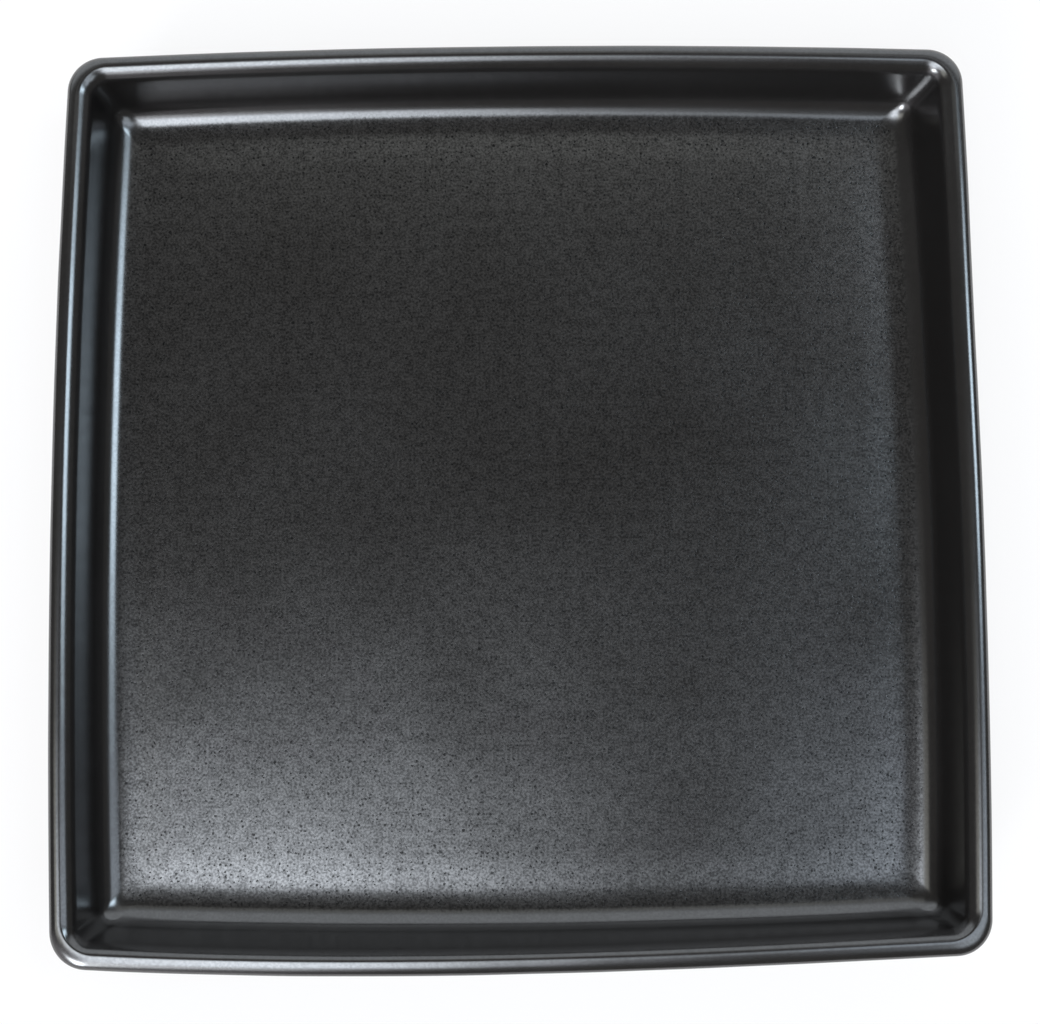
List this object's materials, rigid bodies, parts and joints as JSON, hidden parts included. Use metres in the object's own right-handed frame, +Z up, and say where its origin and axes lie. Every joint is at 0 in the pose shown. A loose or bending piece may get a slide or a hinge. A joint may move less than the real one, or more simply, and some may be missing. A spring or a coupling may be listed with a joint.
{
  "type": "square salad plate",
  "caption": "Square stoneware salad plate with a flat floor, steep straight walls, a rounded lip and soft corners, glazed satin black and standing on a bare foot ring.",
  "frame": {"origin": "middle of the plate, on the plane that the foot ring stands on", "axes": "+Z up out of the plate, +X and +Y square to two neighbouring sides"},
  "size_m": [0.205, 0.205, 0.023],
  "materials": {
    "bare_stoneware": "matte, unglazed",
    "satin_black_glaze": "satin, finely speckled"
  },
  "bodies": {
    "root": {"stoneware_body": "bare_stoneware", "main_glaze": "satin_black_glaze", "foot_well_glaze": "satin_black_glaze"}
  },
  "joints": []
}
